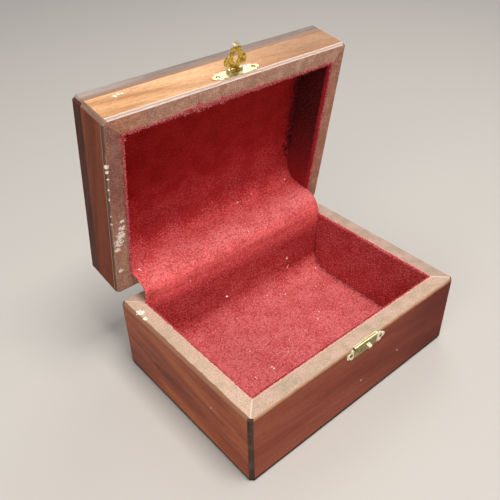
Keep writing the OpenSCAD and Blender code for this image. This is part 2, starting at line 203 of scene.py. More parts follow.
def stained_face(tree, place, axes, fine, wall, stain, seed, along, on_lid):
    """The stain on a wall's faces: broad and narrow streaks, dark and pale flecks, and open pores."""
    figure = pattern(tree, place, 80 * MM, 8 * MM, along, seed, tilt=7)
    narrow = pattern(tree, place, 40 * MM, 2.4 * MM, along, seed + 2, tilt=2)
    pores = pattern(tree, place, 2.2 * MM, 0.22 * MM, along, seed + 7, detail=1.0)
    tone = add(tree, "Mix", {SHARE: 0.25, NUMBER_1: figure, NUMBER_2: narrow})
    contrast = CONTRAST.get(wall, 1.0)
    tone = add(tree, "Math", {0: tone, 1: contrast, 2: 0.5 - 0.5 * contrast}, operation="MULTIPLY_ADD")
    if wall in PALER:
        start, end, amount = PALER[wall]
        tone = add(tree, "Math", {0: tone, 1: within(tree, (axes[along], start, end), most=amount)})
    colour = add(tree, "ValToRGB", {"Fac": tone}, list(zip((0.32, 0.44, 0.56, 0.70), stain)))
    flecks = FLECKS.get(wall, 0.4)
    colour = coated(tree, colour, (fine, 0.45, 0.75, flecks, stain[0]), (fine, 0.42, 0.25, flecks, stain[3]))
    colour = tinted(tree, colour, axes[along], STAIN_TINT.get(wall))
    colour = coated(tree, colour, (pores, 0.60, 0.70, 0.45, "#2b120c"))
    if not on_lid:
        # painted contact shadow: the wall is painted near black along its foot
        colour = coated(tree, colour, (
            axes["Z"], WALL_FOOT + 1.8 * MM, WALL_FOOT + 0.7 * MM, 0.85, "#1e0d09"))
    return colour


def sanded_rim(tree, axes, off_mitre, inset, fine, sanding, mottle, wall, bare, along, on_lid):
    """The bare rim: patches and grit of sanded wood, a line of glue in the mitres, and a line beside the
    lining: red dust from the velvet on the lid, and on the base a pale line of painted highlight and dust."""
    patchy = add(tree, "Mix", {SHARE: 0.4, NUMBER_1: mottle, NUMBER_2: fine})
    colour = add(tree, "ValToRGB", {"Fac": patchy}, list(zip((0.38, 0.50, 0.62), bare)))
    grit = 0.7 if on_lid else 0.52
    colour = coated(tree, colour, (sanding, 0.50, 0.66, grit, "#7d6353"),
                    (sanding, 0.48, 0.33, grit, "#ead3c4"))
    colour = tinted(tree, colour, axes[along], RIM_TINT.get(wall))
    # beside the lining: red velvet dust on the lid; on the base a painted highlight along the inner edge,
    # together with pale dust
    glue, dust, dust_and_highlight_colour = (0.12, 0.3, "#a85a55") if on_lid else (0.75, 0.75, "#e3b3a6")
    return coated(tree, colour, (off_mitre, 0.6 * MM, 0.2 * MM, glue, "#f0d9cb"),
                  (inset, WALL_T - 1.1 * MM, WALL_T - 0.4 * MM, dust, dust_and_highlight_colour))


def stained_wood(name, wall, stain, bare, seed=0.1, along="X", on_lid=True):
    """Hardwood stained red-brown and varnished, but sawn and sanded bare on the rim.
    The stain shows as soft streaks along the grain, and the varnish as a low gloss. The bevelled edge is
    worn, with painted highlight on its pale parts, and on some walls a thin dark line runs below it, which on
    the lid's left wall is painted shade. Old glue shows as pale chips.
    The tables below hold what one wall has and another has not."""
    material = new_material(name)
    tree = material.node_tree
    place = placed(tree, on_lid)
    axes = add(tree, "SeparateXYZ", {"Vector": place}).outputs
    fine = pattern(tree, place, 7 * MM, 0.5 * MM, along, seed + 3, rough=0.6)
    # the marks of the grit are finer on the real wood, and are drawn as coarse as they need to show
    sanding = pattern(tree, place, 0.7 * MM, 0.7 * MM, detail=4.0, rough=0.8)
    mottle = pattern(tree, place, 6 * MM, 6 * MM, detail=3.0, rough=0.6)

    # how far from the box's middle, across it and along its depth
    wide, deep = [add(tree, "Math", {0: axes[axis]}, operation="ABSOLUTE") for axis in "XY"]
    # how far in from the wall's outer face, and how far down the wall from the rim's plane
    inset = add(tree, "Math", {0: HALF_D, 1: deep} if along == "X" else {0: HALF_W, 1: wide},
                operation="SUBTRACT")
    depth = add(tree, "Math", {0: axes["Z"], 1: LID_RIM} if on_lid else {0: BASE_RIM, 1: axes["Z"]},
                operation="SUBTRACT")
    # in a mitre, a point lies as far in from the side as from the front or the back
    off_mitre = add(tree, "Math", {0: wide, 1: deep}, operation="SUBTRACT")
    off_mitre = add(tree, "Math", {0: off_mitre, 1: HALF_W - HALF_D}, operation="SUBTRACT")
    off_mitre = add(tree, "Math", {0: off_mitre}, operation="ABSOLUTE")
    # how far every border wavers to either side
    waver = add(tree, "Math", {0: sanding, 1: 0.6 * MM, 2: -0.9 * MM}, operation="MULTIPLY_ADD")
    waver = add(tree, "Math", {0: mottle, 1: 1.2 * MM, 2: waver}, operation="MULTIPLY_ADD")

    colour = stained_face(tree, place, axes, fine, wall, stain, seed, along, on_lid)
    # the bevel's colours: worn varnish with painted highlight, and a thin dark line that is painted shade on
    # the lid's left wall
    edge = EDGES.get(wall, EDGE)
    last = edge[-1][0]
    rough_depth = add(tree, "Math", {0: depth, 1: waver})
    worn = add(tree, "MapRange", {"Value": rough_depth, "From Max": EDGE_REACH})
    worn = add(tree, "ValToRGB", {"Fac": worn}, [(below / EDGE_REACH, shade) for below, shade in edge])
    colour = coated(tree, colour, (rough_depth, last + 0.25 * MM, last, 1.0, worn))
    rim = sanded_rim(tree, axes, off_mitre, inset, fine, sanding, mottle, wall, bare, along, on_lid)
    over = STAIN_OVER.get(wall, 0.6 * MM)
    rim_depth = add(tree, "Math", {0: waver, 1: 0.2, 2: depth}, operation="MULTIPLY_ADD")
    rim_inset = add(tree, "Math", {0: inset, 1: waver})
    on_rim = within(tree, (rim_depth, 0.16 * MM, 0.0), (rim_inset, over, over + 0.5 * MM))
    colour = add(tree, "Mix", {SHARE: on_rim, COLOUR_1: colour, COLOUR_2: rim}, data_type="RGBA")
    chips = patches(tree, place, GLUE_CHIPS.get(wall, ()))
    colour = add(tree, "Mix", {SHARE: chips, COLOUR_1: colour, COLOUR_2: linear("#fdf0e6")}, data_type="RGBA")

    gloss = add(tree, "MapRange", {"Value": fine, "To Min": 0.30, "To Max": 0.45})
    dull = add(tree, "Math", {0: on_rim, 1: chips}, operation="MAXIMUM")
    rough = add(tree, "Math", {0: dull, 1: 0.35, 2: gloss}, operation="MULTIPLY_ADD")
    grit = add(tree, "Math", {0: sanding, 1: chips})
    relief = add(tree, "Math", {0: grit, 1: dull, 2: fine}, operation="MULTIPLY_ADD")
    bump = add(tree, "Bump", {"Height": relief, "Strength": 0.3, "Distance": 0.10 * MM})
    return finished(material, {"Base Color": colour, "Roughness": rough, "Normal": bump,
                               "Specular IOR Level": SHINE.get(wall, 0.1)})


def dark_strip_wood(name, along, on_lid, light, dark, gloss, coats=()):
    """Dark hardwood strip, rubbed down and thinly varnished: brown with a dull shine, and greyer where it was
    rubbed, a grey that is partly painted sheen, laid thicker the glossier the wood. The coats (axis, start,
    end, cover, hex colour) are laid over it."""
    material = new_material(name)
    tree = material.node_tree
    place = placed(tree, on_lid)
    axes = add(tree, "SeparateXYZ", {"Vector": place}).outputs
    fine = pattern(tree, place, 16 * MM, 0.8 * MM, along, seed=5.0)
    rubbed = pattern(tree, place, 7 * MM, 7 * MM, detail=3.0, rough=0.6)
    colour = add(tree, "ValToRGB", {"Fac": fine}, [(0.35, dark), (0.65, light)])
    # the grey is rubbed wood and painted sheen together: its cover grows with the gloss
    colour = coated(tree, colour, (rubbed, 0.45, 0.7, gloss * 1.5, "#8a766d"),
                    *[(axes[axis], *coat) for axis, *coat in coats])
    rough = add(tree, "MapRange", {"Value": rubbed, "To Min": 0.28, "To Max": 0.5})
    bump = add(tree, "Bump", {"Height": fine, "Strength": 0.15, "Distance": 0.08 * MM})
    return finished(material, {"Base Color": colour, "Roughness": rough, "Normal": bump,
                               "Specular IOR Level": gloss})


def velvet(name, stops_of_wear_and_painted_light, along="Y", sway=14 * MM, layers=(), lift=None):
    """Cotton velvet with a short pile: deep red where the pile stands and where shade is painted, and paler,
    pinker and grainier where it is worn flat and where light is painted. The stops are (metres along the
    cloth, hex colour) and paint wear, light and shade along it; sway is how far they wander. Layers are
    (fades, hex colour), painted shadows and painted light laid over where every fade (axis, start, end) is on.
    Lift is (axis, start, end, gain): how much brighter the cloth is painted that way."""
    material = new_material(name)
    tree = material.node_tree
    cloth = add(tree, "UVMap", uv_map="cloth")
    # real tufts are about 0.3 mm wide, and are drawn three times as coarse so that they show
    tufts = pattern(tree, cloth, 0.95 * MM, 0.95 * MM, detail=3.0, rough=0.8)
    clumps = pattern(tree, cloth, 2.2 * MM, 2.2 * MM, rough=0.6)
    nap = pattern(tree, cloth, 12 * MM, 12 * MM, detail=3.0, rough=0.6)
    ways = add(tree, "SeparateXYZ", {"Vector": cloth}).outputs

    # noise lies about 0.5, so what it moves is moved back by half of that
    swaying = add(tree, "Math", {0: nap, 1: sway, 2: ways[along]}, operation="MULTIPLY_ADD")
    reach = add(tree, "MapRange", {"Value": swaying, "From Min": NAP_START + sway / 2,
                                   "From Max": NAP_START + NAP_LENGTH + sway / 2})
    shade = add(tree, "ValToRGB", {"Fac": reach},
                [((metres - NAP_START) / NAP_LENGTH, colour) for metres, colour in stops_of_wear_and_painted_light])
    # the layers lay painted shadows and painted light over the cloth
    for fades, layer_colour in layers:
        wandering = []
        for axis, start, end in fades:
            width = end - start
            moved = add(tree, "Math", {0: clumps, 1: 2 * width, 2: ways[axis]}, operation="MULTIPLY_ADD")
            wandering.append((moved, start + width, end + width))
        cover = within(tree, *wandering)
        shade = add(tree, "Mix", {SHARE: cover, COLOUR_1: shade, COLOUR_2: linear(layer_colour)},
                    data_type="RGBA")
    # painted light: the lift brightens the cloth that way
    if lift:
        axis, start, end, gain = lift
        shade = coated(tree, shade, (ways[axis], start, end, 1.0, [gain] * 3 + [1.0]), blend="MULTIPLY")
    shade = coated(tree, shade, (nap, 0.42, 0.62, 1.0, "#f0d2d2"), blend="MULTIPLY")

    # pile that is worn, or painted lighter, is pinker, so it has more green in it than pile that stands
    green = add(tree, "SeparateColor", {"Color": shade}).outputs["Green"]
    grain = add(tree, "Math", {0: within(tree, (green, 0.008, 0.045), most=0.48), 1: 0.09})
    clump_grain = add(tree, "Math", {0: grain, 1: 0.8}, operation="MULTIPLY")
    dark = add(tree, "Mix", {SHARE: 1.0, COLOUR_1: shade, COLOUR_2: linear("#b07a7a")}, data_type="RGBA",
               blend_type="MULTIPLY")
    colour = coated(tree, shade, (tufts, 0.50, 0.36, grain, dark), (tufts, 0.50, 0.66, grain, "#f4a6a6"),
                    (clumps, 0.50, 0.66, clump_grain, dark))
    relief = add(tree, "Math", {0: clumps, 1: 0.8, 2: tufts}, operation="MULTIPLY_ADD")
    bump = add(tree, "Bump", {"Height": relief, "Strength": 0.8, "Distance": 0.4 * MM})
    return finished(material, {
        "Base Color": colour, "Normal": bump, "Roughness": 0.9, "Specular IOR Level": 0.05,
        "Sheen Weight": 0.05, "Sheen Roughness": 0.6, "Sheen Tint": linear("#ffb0b0")})


def loose_cotton(name, shades):
    """Loose bits of cotton, dull and soft, each of a shade of its own among the (place, hex colour) stops."""
    material = new_material(name)
    tree = material.node_tree
    bit = add(tree, "SeparateXYZ", {"Vector": add(tree, "UVMap", uv_map="cloth")}).outputs["X"]
    colour = add(tree, "ValToRGB", {"Fac": bit}, shades)
    return finished(material, {"Base Color": colour, "Roughness": 0.9, "Specular IOR Level": 0.1})


def stamped_brass(name, dull, bright, painted_highlights=()):
    """Thin brass, stamped and bright-dipped, then dulled by handling, with dents that break up its shine.
    The painted highlights are places painted cream, the same on the left and the right: each is the fades
    (axis, start, end) that are all on there."""
    material = new_material(name)
    tree = material.node_tree
    place = add(tree, "TexCoord").outputs["Object"]
    axes = add(tree, "SeparateXYZ", {"Vector": place}).outputs
    ways = {"X": add(tree, "Math", {0: axes["X"]}, operation="ABSOLUTE"), "Y": axes["Y"], "Z": axes["Z"]}
    dents = pattern(tree, place, 1.1 * MM, 1.1 * MM, detail=3.0)
    tarnish = pattern(tree, place, 2.0 * MM, 2.0 * MM, detail=4.0, rough=0.65)
    colour = add(tree, "ValToRGB", {"Fac": tarnish}, [(0.39, dull), (0.61, bright)])
    # painted highlights: cream where light glints
    for fades in painted_highlights:
        spot = within(tree, *[(ways[axis], start, end) for axis, start, end in fades])
        colour = add(tree, "Mix", {SHARE: spot, COLOUR_1: colour, COLOUR_2: linear("#fdf3d6")},
                     data_type="RGBA")
    rough = add(tree, "MapRange", {"Value": tarnish, "To Min": 0.22, "To Max": 0.42})
    bump = add(tree, "Bump", {"Height": dents, "Strength": 0.6, "Distance": 0.2 * MM})
    return finished(material, {"Base Color": colour, "Metallic": 1.0, "Roughness": rough, "Normal": bump})


def pulp_board(name):
    """Grey-brown pulp board, which the lining hides."""
    material = new_material(name)
    tree = material.node_tree
    place = add(tree, "TexCoord").outputs["Object"]
    fibres = pattern(tree, place, 1.2 * MM, 1.2 * MM, detail=3.0)
    colour = add(tree, "ValToRGB", {"Fac": fibres}, [(0.3, "#8d7458"), (0.7, "#a98f70")])
    return finished(material, {"Base Color": colour, "Roughness": 0.9})


# stain from dark to light, and the sanded rim's three tints
RED_BROWN = ("#62271a", "#8a3f27", "#a5512f", "#b9673d")
DARK_RED_BROWN = ("#561f13", "#803a21", "#9a4b2a", "#ad6036")
MAROON = ("#63281b", "#7c3626", "#8d4432", "#a05640")
DEEP_BROWN = ("#4a1a0e", "#652616", "#78321d", "#8b4127")
WARM_BROWN = ("#5c2a19", "#783c27", "#8c4b30", "#9c5c3e")
# painted light: the lid's front wall, much lighter and more golden than the base's stain, for the light that
# falls on it from above
AMBER_PAINTED_WITH_LIGHT = ("#a87850", "#c89a71", "#d2a77e", "#dcb890")
PALE_RIM = ("#a1957f", "#b59c89", "#c2a69b")
# painted light: the base's left rim, paler for the light that falls on it
LEFT_RIM_PAINTED_WITH_LIGHT = ("#b2a18c", "#c4a995", "#d0b4a8")
# painted shade: the lid's rims are the same sanded wood, darker and browner for the shade they lie in; the
# front one is a little paler
TAN_RIM_PAINTED_WITH_SHADE = ("#9a7664", "#ac7c68", "#bf9480")
PALER_TAN_RIM = ("#a78270", "#b8886f", "#cb9d86")
STAINS = {"base_front": MAROON, "base_left": DARK_RED_BROWN, "lid_front": AMBER_PAINTED_WITH_LIGHT, "lid_left": WARM_BROWN}
BARE = {"base_left": LEFT_RIM_PAINTED_WITH_LIGHT, "lid_front": PALER_TAN_RIM}
# the bevelled edge: depth below the rim in metres, at most the reach, and colour. Pale stops are worn varnish
# with painted highlight; dark stops make a thin dark line, which on the lid's left wall is painted shade
EDGE_REACH = 2 * MM
EDGE = ((0.1 * MM, "#b5a08f"), (0.8 * MM, "#a08673"), (1.0 * MM, "#33201a"), (1.4 * MM, "#33201a"))
EDGES = {
    "base_front": ((0.1 * MM, "#b89c88"), (0.5 * MM, "#a88168"), (1.0 * MM, "#8f5f42"),
                   (1.8 * MM, "#804c31")),
    "base_left": ((0.1 * MM, "#8a6450"), (0.9 * MM, "#8a5f49"), (1.2 * MM, "#875640"),
                  (1.4 * MM, "#84503a")),
    "lid_front": ((0.1 * MM, "#d3c4bc"), (0.4 * MM, "#cbbab2"), (0.6 * MM, "#ae9890"), (1.1 * MM, "#b8a39b"),
                  (1.35 * MM, "#d8c8c0"), (1.7 * MM, "#d2b59e")),
    "lid_left": ((0.05 * MM, "#a98c7b"), (0.25 * MM, "#7b6250"), (0.8 * MM, "#5d4638"), (1.35 * MM, "#644a3e"),
                 (1.6 * MM, "#b0836c"), (1.9 * MM, "#9c6a52"))}
# along the grain: (from, to, how much paler the stain gets), and (from, to, tint) on the faces and the rims
PALER = {"base_front": (30 * MM, -75 * MM, 0.13), "base_left": (40 * MM, -10 * MM, 0.06)}
STAIN_TINT = {"base_front": (15 * MM, 70 * MM, "#cf8e60"), "lid_left": (-50 * MM, 50 * MM, "#dfb080"),
              "lid_front": (-20 * MM, 60 * MM, "#cac6ce")}
# the base's right rim is tinted darker: painted shade
RIM_TINT = {"lid_front": (-45 * MM, -68 * MM, "#f4dccb"), "lid_right": (90 * MM, 80 * MM, "#ffece8"),
            "base_right": (60 * MM, 40 * MM, "#f0f0f6"), "lid_left": (10 * MM, -10 * MM, "#dbcacf")}
# how far in from the wall's outer face the stain reaches on the rim
STAIN_OVER = {"base_left": 1.5 * MM}
# how much the varnish reflects, how far the streaks differ, and how much the flecks show
SHINE = {"lid_left": 0.04, "base_front": 0.05}
CONTRAST = {"base_front": 0.55, "base_back": 0.8, "base_right": 0.8, "lid_left": 0.6, "lid_top": 0.7}
# the lid's front wall has stronger flecks, whose pale ones stand partly for painted glints
FLECKS = {"lid_front": 0.6}
# (x, y, z, radius) of the chips and of single nicks
GLUE_CHIPS = {
    "lid_left": [(-74.6 * MM, y * MM, LID_RIM, r * MM) for y, r in (
        (-30, 1.5), (-27, 1.1), (-23, 0.9), (-17, 0.7), (-11.5, 0.9), (-1, 0.6), (4, 0.8))]
    + [(x * MM, y * MM, LID_RIM, r * MM) for x, y, r in (
        (-68.8, 4.5, 1.3), (-69.3, 8.5, 2.0), (-70.0, 13, 2.6), (-71.6, 17.5, 2.8), (-72.4, 21.5, 1.8),
        (-71.4, 37, 1.6))],
    "lid_front": [(x * MM, -HALF_D, z * MM, r * MM) for x, z, r in (
        (-59.6, 61.2, 0.9), (-57.4, 62.0, 1.0), (-55.6, 61.6, 0.7))],
    "base_left": [(x * MM, y * MM, BASE_RIM, r * MM) for x, y, r in ((-71.6, 38.5, 2.4), (-72.4, 33, 1.5))]
    + [(-HALF_W, -24.5 * MM, 29 * MM, 0.5 * MM)],
    "base_front": [(x * MM, -HALF_D, z * MM, 0.5 * MM) for x, z in ((0.8, 16.2), (30.1, 18.6))]}

WALLS = [(half, side) for half in ("base", "lid") for side in ("front", "back", "left", "right")]
WOOD = {}
for number, (half, side) in enumerate(WALLS):
    wall = f"{half}_{side}"
    of_lid = half == "lid"
    WOOD[wall + "_wall"] = stained_wood(
        wall + "_stained_varnished_wood", wall, STAINS.get(wall, DEEP_BROWN if of_lid else RED_BROWN),
        BARE.get(wall, TAN_RIM_PAINTED_WITH_SHADE if of_lid else PALE_RIM), seed=11 * MM * number,
        along="X" if side in ("front", "back") else "Y", on_lid=of_lid)
TOP_PANEL = stained_wood("lid_top_stained_varnished_wood", "lid_top", DEEP_BROWN, TAN_RIM_PAINTED_WITH_SHADE)

# the stretch of cloth that a velvet's stops may lie on
NAP_START, NAP_LENGTH = -50 * MM, 300 * MM
# the sheet's stops paint light and shade along it as well as wear: pale and pink on the floor and over the
# hinges, where light falls, and deep red up the lid's panel, in shade. The layers paint the shadow of the
# lid's right wall on the panel, shade on the back's right part and along the right wall, and light on the
# back's left part; the lift paints light towards the left
VELVET = velvet("red_cotton_velvet", [
    (0.0, "#cb6468"), (0.078, "#cb6367"), (0.086, "#c45256"), (0.094, "#c94a4d"), (0.104, "#b83639"),
    (0.113, "#be383c"), (0.119, "#ec5d5f"), (0.126, "#f06769"), (0.134, "#d2686a"), (0.141, "#ce5d61"),
    (0.146, "#ce5256"), (0.154, "#d5484c"), (0.161, "#c53236"), (0.174, "#cb3336"), (0.186, "#bc2628"),
    (0.196, "#b01e1f"), (0.210, "#a71a1b")], layers=[
        ((("X", 55 * MM, 65 * MM), ("Y", 0.166, 0.180)), "#3f0709"),
        ((("X", 15 * MM, 50 * MM), ("Y", 0.088, 0.094), ("Y", 0.115, 0.108)), "#a92d31"),
        ((("X", -15 * MM, -50 * MM), ("Y", 0.088, 0.094), ("Y", 0.113, 0.107)), "#c04142"),
        ((("X", 61 * MM, 66 * MM), ("Y", 0.108, 0.100)), "#7c171b")],
    lift=("X", -28 * MM, -52 * MM, 1.12))
SIDE_VELVET = velvet("red_cotton_velvet_on_side_walls", [
    (0.0, "#b8393d"), (BASE_LINING_H - 1.3 * MM, "#b23a3f"), (BASE_LINING_H - 0.6 * MM, "#b04a4c")], sway=0.0)
DEEP_VELVET = velvet("red_cotton_velvet_unworn", [
    (0.0, "#a71a1b"), (LID_LINING_H - 1.6 * MM, "#a71a1b"), (LID_LINING_H - 0.8 * MM, "#d0525a")], sway=0.0)
# painted shade: the lid's right lining is painted near black, darkest at the lid's front end, with a redder
# strip below its cut edge
VELVET_PAINTED_WITH_SHADE = velvet("red_cotton_velvet_painted_dark_with_shade", [
    (-0.04, "#470709"), (-0.005, "#470709"), (0.02, "#6c1013"), (0.04, "#8c1b1f")], along="X", layers=[
        ((("Y", LID_LINING_H - 2.2 * MM, LID_LINING_H - 1.2 * MM),), "#97222b")])
EDGE_VELVET = velvet("red_cotton_velvet_with_a_dark_cut_edge", [
    (0.0, "#b8393d"), (BASE_LINING_H - 0.5 * MM, "#b8393d"), (BASE_LINING_H - 0.1 * MM, "#7a302c")], sway=0.0)
OWN_VELVET = {"lid_right_lining": VELVET_PAINTED_WITH_SHADE, "base_front_lining": EDGE_VELVET}
FRAYED = loose_cotton("frayed_cotton_pile", [(0.0, "#8f1f26"), (0.45, "#c84a52"), (1.0, "#eeaaa6")])
LINT = loose_cotton("pale_lint", [(0.0, "#e2a09a"), (0.4, "#f5e6da"), (1.0, "#fff6ea")])

BRASS = stamped_brass("stamped_brass", "#a08a45", "#d8c47c")
# painted highlight: the lid's plate is the same brass, painted pale cream for the light that glints on it from
# above
PLATE_BRASS_WITH_PAINTED_HIGHLIGHT = stamped_brass("brass_paled_by_painted_highlight", "#d3c389", "#f8efd4")
NAIL_BRASS = stamped_brass("dull_brass_nails", "#6f6a38", "#a89c58")
PIN_BRASS = stamped_brass("drawn_brass_wire", "#d9bf52", "#f3e27e")
# painted highlight on the finger lip
LEAF_BRASS = stamped_brass("handled_brass", "#a07a28", "#efcf66", [
    [("Z", LEAF_TOP - 2.6 * MM, LEAF_TOP - 1.9 * MM)]])
# painted highlights on the petals, the tongue and the two lines of the fold over the rim
CATCH_BRASS = stamped_brass("dulled_brass", "#7a6e3c", "#b8aa72", [
    [("X", 8.4 * MM, 8.9 * MM)],
    [("Y", -HALF_D - 0.9 * MM, -HALF_D - 1.4 * MM)],
    [("Z", BASE_RIM, BASE_RIM + 0.2 * MM), ("Y", -HALF_D + 0.55 * MM, -HALF_D + 0.72 * MM)],
    [("Z", BASE_RIM - 0.1 * MM, BASE_RIM + 0.1 * MM), ("Y", -HALF_D - 0.3 * MM, -HALF_D - 0.45 * MM)]])
METAL = {"catch_plate": CATCH_BRASS, "catch_nails": NAIL_BRASS, "hasp_plate": PLATE_BRASS_WITH_PAINTED_HIGHLIGHT,
         "hasp_nails": NAIL_BRASS, "hasp_pin": PIN_BRASS, "hasp_leaf": LEAF_BRASS}

BOARD = pulp_board("pulp_board")
BASE_STRIP = dark_strip_wood("base_dark_strip_wood", "Z", False, "#4c382c", "#32231a", 0.13)
BOTTOM_BOARD = dark_strip_wood("base_bottom_board_wood", "X", False, "#2c1b13", "#1c110c", 0.05)
# painted highlight: the lid's dark strips are painted lighter and greyer than the base's, for the light their
# shine catches
LID_STRIP_WITH_PAINTED_HIGHLIGHT = dark_strip_wood("lid_dark_strip_wood_with_painted_highlight", "Z", True, "#967868", "#6f5446", 0.35)
# painted reflection: greyer and lighter than the other bands for the light its gloss catches on top of the
# open lid; paler towards its left end, brown along its lower edge and dark on top
FRONT_BAND_WITH_PAINTED_REFLECTION = dark_strip_wood("lid_band_wood_with_painted_reflection", "X", True, "#7c706b", "#5e524d", 0.25, [
    ("X", -20 * MM, -70 * MM, 0.25, "#e8dcd6"),
    ("Z", LID_TOP - 3.5 * MM, LID_TOP - 6.5 * MM, 1.0, "#8a6c5a"),
    ("Z", LID_TOP - 0.7 * MM, LID_TOP - 0.3 * MM, 1.0, "#513228")])
BAND_X = dark_strip_wood("lid_dark_band_wood_x", "X", True, "#5b3930", "#472a23", 0.02)
BAND_Y = dark_strip_wood("lid_dark_band_wood_y", "Y", True, "#5b3930", "#472a23", 0.02)


# ---------------------------------------------------------------- rigid pieces, from the part's own nodes

def dress(node_name, material, edge=0.0):
    """Gives a node its material and, where edge is more than 0, eases its sharp edges by that much."""
    piece = frame["nodes"][node_name]
    piece.data.materials.clear()
    piece.data.materials.append(material)
    if edge:
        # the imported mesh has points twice, which the weld joins so that the edges can be eased
        weld = piece.modifiers.new("weld", "WELD")
        weld.merge_threshold = 0.002 * MM
        ease = piece.modifiers.new("eased edges", "BEVEL")
        ease.width = edge
        ease.segments = 2
        ease.limit_method = "ANGLE"
        ease.angle_limit = math.radians(25)
        ease.harden_normals = False


BANDS = {"lid_front_band": FRONT_BAND_WITH_PAINTED_REFLECTION, "lid_back_band": BAND_X}
for name in frame["nodes"]:
    if name in WOOD:
        dress(name, WOOD[name], 0.18 * MM)
    elif name.endswith("_strip"):
        dress(name, LID_STRIP_WITH_PAINTED_HIGHLIGHT if name.startswith("lid") else BASE_STRIP, 0.12 * MM)
    elif name.endswith("_band"):
        dress(name, BANDS.get(name, BAND_Y), 0.18 * MM)
    elif name == "base_bottom_board":
        dress(name, BOTTOM_BOARD, 0.2 * MM)
    elif name == "base_floor_pad":
        dress(name, BOARD)
    elif name == "lid_top_panel":
        dress(name, TOP_PANEL, 0.1 * MM)
    elif not name.endswith("_lining"):
        dress(name, METAL.get(name, BRASS), 0.08 * MM)


# ---------------------------------------------------------------- velvet lining

def new_piece(name, points, faces, material, uvs, smooth=False):
    """A mesh piece of one material. Its map holds each point's place on the flat cloth, or its shade."""
    mesh = bpy.data.meshes.new(name)
    mesh.from_pydata([tuple(p) for p in points], [], faces)
    mesh.materials.append(material)
    if smooth:
        for face in mesh.polygons:
            face.use_smooth = True
    layer = mesh.uv_layers.new(name="cloth")
    for loop in mesh.loops:
        layer.data[loop.index].uv = uvs[loop.vertex_index]
    piece = bpy.data.objects.new(name, mesh)
    bpy.context.scene.collection.objects.link(piece)
    return piece


def surface(name, rows, material, uvs, flip=False):
    """A smooth piece from rows of points, whose map holds the cloth's own flat coordinates in metres."""
    count = len(rows[0])
    faces = []
    for i in range(len(rows) - 1):
        for j in range(count - 1):
            a, b = i * count + j, i * count + j + 1
            faces.append((a, a + count, b + count, b) if flip else (a, b, b + count, a + count))
    return new_piece(name, [p for row in rows for p in row], faces, material,
                     [uv for row in uvs for uv in row], smooth=True)


def arc(centre, radius, start, end, count):
    """Points (y, z) on an arc, its angles in degrees from +Y towards +Z."""
    angles = [math.radians(start + (end - start) * i / (count - 1)) for i in range(count)]
    return [(centre[0] + radius * math.cos(a), centre[1] + radius * math.sin(a)) for a in angles]


def path_length(points):
    """How long the straight stretches between the points are, all together."""
    return sum(math.dist(a, b) for a, b in zip(points, points[1:]))


def spaced(points, step):
    """The same path, with points about a step apart."""
    out = [points[0]]
    total = path_length(points)
    count = max(2, round(total / step))
    walked, k = 0.0, 0
    for i in range(1, count + 1):
        target = i * total / count
        while k < len(points) - 2 and walked + math.dist(points[k], points[k + 1]) < target - TINY:
            walked += math.dist(points[k], points[k + 1])
            k += 1
        share = min((target - walked) / max(math.dist(points[k], points[k + 1]), TINY), 1.0)
        out.append(tuple(a + (b - a) * share for a, b in zip(points[k], points[k + 1])))
    return out


def swung(point):
    """A (y, z) point of the closed lid, with the lid open."""
    moved = OPENED @ Vector((0, *point))
    return (moved.y, moved.z)


# where the cloth's face lies on the back walls, how it rounds the corners at the floor and the panel, and how
# far it keeps from the hinges
BACK_FACE = ROOM_D - CLOTH_T
FLOOR_FILLET = 11 * MM
LID_FILLET = 9.5 * MM
FLAP_R = HINGE.y - BACK_FACE
CORNER_POINTS = 14
FLAP_STEPS = 40


def lining_path(bulge):
    """The one sheet, from the floor's front edge, up the back, round the hinges and over the lid's panel.
    bulge(t) is how far it stands off its arc about the hinges, with t from 0 at the base to 1 at the lid."""
    floor = [(-ROOM_D + CLOTH_T, FLOOR_Z)]
    corner = arc((BACK_FACE - FLOOR_FILLET, FLOOR_Z + FLOOR_FILLET), FLOOR_FILLET, -90, 0, CORNER_POINTS)
    flap = []
    for i in range(FLAP_STEPS + 1):
        t = i / FLAP_STEPS
        radius = FLAP_R + bulge(t)
        flap.append((HINGE.y - radius * math.cos(LID_OPEN * t), HINGE.z + radius * math.sin(LID_OPEN * t)))
    lid_corner = arc((BACK_FACE - LID_FILLET, PANEL_Z - LID_FILLET), LID_FILLET, 0, 90, CORNER_POINTS)
    panel = [(-ROOM_D + CLOTH_T, PANEL_Z)]
    return floor + corner + flap + [swung(p) for p in lid_corner + panel]


def lining_sheet():
    """The sheet. Over the hinges it arches a little, lifts at its left edge and lies flat at its right."""
    columns, path_steps = 104, 190
    left_x, right_x = -ROOM_W + 0.4 * MM, ROOM_W - 0.4 * MM
    grid, flat = [], []
    for j in range(columns + 1):
        share = j / columns
        x = left_x + (right_x - left_x) * share
        left_lift = math.exp(-((x - left_x) / (9 * MM)) ** 2)
        right_drop = math.exp(-((right_x - x) / (14 * MM)) ** 2)

        def bulge(t):
            arch = 0.7 * MM * math.sin(math.pi * t) * (1 - right_drop)
            return arch + 2.3 * MM * left_lift * math.exp(-((t - 0.42) / 0.24) ** 2)

        path = lining_path(bulge)
        total = path_length(path)
        line = spaced(path, total / path_steps)
        grid.append([Vector((x, *p)) for p in line])
        flat.append([(x, total * i / path_steps) for i in range(len(line))])
    # soft unevenness of a cloth that is glued down by hand
    rows = []
    for column in grid:
        row = []
        for i, p in enumerate(column):
            along = (column[min(i + 1, len(column) - 1)] - column[max(i - 1, 0)]).normalized()
            inward = Vector((1, 0, 0)).cross(along)
            wave = noise.noise(p / (26 * MM)) * 0.5 + noise.noise(p / (9 * MM)) * 0.22
            row.append(p + inward * abs(wave) * 0.6 * MM)
        rows.append(row)
    sheet = surface("lining_sheet", rows, VELVET, flat, flip=True)
    backing = sheet.modifiers.new("cloth thickness", "SOLIDIFY")
    backing.thickness = 0.9 * CLOTH_T
    backing.offset = -1.0
    return sheet


